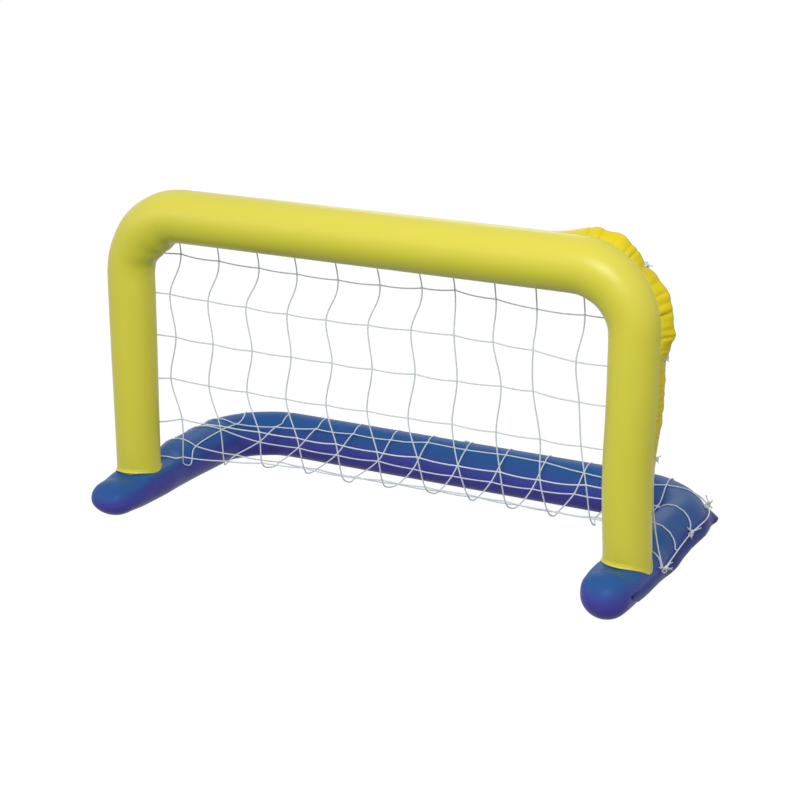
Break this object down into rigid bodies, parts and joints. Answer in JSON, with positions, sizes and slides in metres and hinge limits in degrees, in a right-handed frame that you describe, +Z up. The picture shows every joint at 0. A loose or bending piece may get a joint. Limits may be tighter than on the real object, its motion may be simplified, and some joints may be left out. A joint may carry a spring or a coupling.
{
  "type": "inflatable soccer goal",
  "caption": "Inflatable goal: a yellow air-filled frame on a blue U-shaped air-filled base, with a tied white net and two blow-up valves",
  "frame": {"origin": "on the floor, under the middle of the whole object's box", "axes": "+X along the crossbar, towards the post on the viewer's right; -Y the side that is shot at; +Y behind the goal; +Z up"},
  "size_m": [1.4079, 0.7125, 0.7897],
  "materials": {
    "frame_vinyl": "semi-gloss",
    "base_vinyl": "semi-gloss",
    "net_cord": "matte",
    "valve_vinyl": "semi-gloss"
  },
  "bodies": {
    "goal": {"frame_front_sheet": "frame_vinyl", "frame_rear_sheet": "frame_vinyl", "foot_collar_left": "frame_vinyl", "foot_collar_right": "frame_vinyl", "base_upper_sheet": "base_vinyl", "base_lower_sheet": "base_vinyl", "net": "net_cord", "crossbar_tie_middle": "net_cord", "crossbar_tie_inner_left": "net_cord", "crossbar_tie_inner_right": "net_cord", "crossbar_tie_outer_left": "net_cord", "crossbar_tie_outer_right": "net_cord", "post_tie_corner_left": "net_cord", "post_tie_corner_right": "net_cord", "post_tie_upper_left": "net_cord", "post_tie_upper_right": "net_cord", "post_tie_lower_left": "net_cord", "post_tie_lower_right": "net_cord", "rear_tie_middle": "net_cord", "rear_tie_inner_left": "net_cord", "rear_tie_inner_right": "net_cord", "rear_tie_outer_left": "net_cord", "rear_tie_outer_right": "net_cord", "base_tie_corner_left": "net_cord", "base_tie_corner_right": "net_cord", "base_tie_rear_left": "net_cord", "base_tie_rear_right": "net_cord", "base_tie_front_left": "net_cord", "base_tie_front_right": "net_cord", "frame_valve_seat": "valve_vinyl", "base_valve_seat": "valve_vinyl"},
    "frame_valve_stem": {"frame_valve_stem": "valve_vinyl"},
    "frame_valve_plug": {"frame_valve_plug": "valve_vinyl"},
    "frame_valve_check": {"frame_valve_check": "valve_vinyl"},
    "base_valve_stem": {"base_valve_stem": "valve_vinyl"},
    "base_valve_plug": {"base_valve_plug": "valve_vinyl"},
    "base_valve_check": {"base_valve_check": "valve_vinyl"}
  },
  "joints": [
    {"name": "frame_valve_stem_slide", "type": "slide", "parent": "goal", "child": "frame_valve_stem", "axis": [-0.1951, 0.9808, 0], "range_m": [0, 0.009]},
    {"name": "frame_valve_plug_hinge", "type": "hinge", "parent": "frame_valve_stem", "child": "frame_valve_plug", "pos_m": [0.61713, -0.14618, 0.3407], "axis": [-0.9808, -0.1951, 0], "range_deg": [0, 120]},
    {"name": "frame_valve_check_hinge", "type": "hinge", "parent": "frame_valve_stem", "child": "frame_valve_check", "pos_m": [0.62027, -0.16197, 0.3451], "axis": [0.9808, 0.1951, 0], "range_deg": [0, 40], "stiffness_Nm_per_rad": 0.0001},
    {"name": "base_valve_stem_slide", "type": "slide", "parent": "goal", "child": "base_valve_stem", "axis": [0, 0.5628, 0.8266], "range_m": [0, 0.009]},
    {"name": "base_valve_plug_hinge", "type": "hinge", "parent": "base_valve_stem", "child": "base_valve_plug", "pos_m": [-0.01, 0.32291, 0.0968], "axis": [-1, 0, 0], "range_deg": [0, 120]},
    {"name": "base_valve_check_hinge", "type": "hinge", "parent": "base_valve_stem", "child": "base_valve_check", "pos_m": [-0.01, 0.31021, 0.08597], "axis": [1, 0, 0], "range_deg": [0, 40], "stiffness_Nm_per_rad": 0.0001}
  ]
}
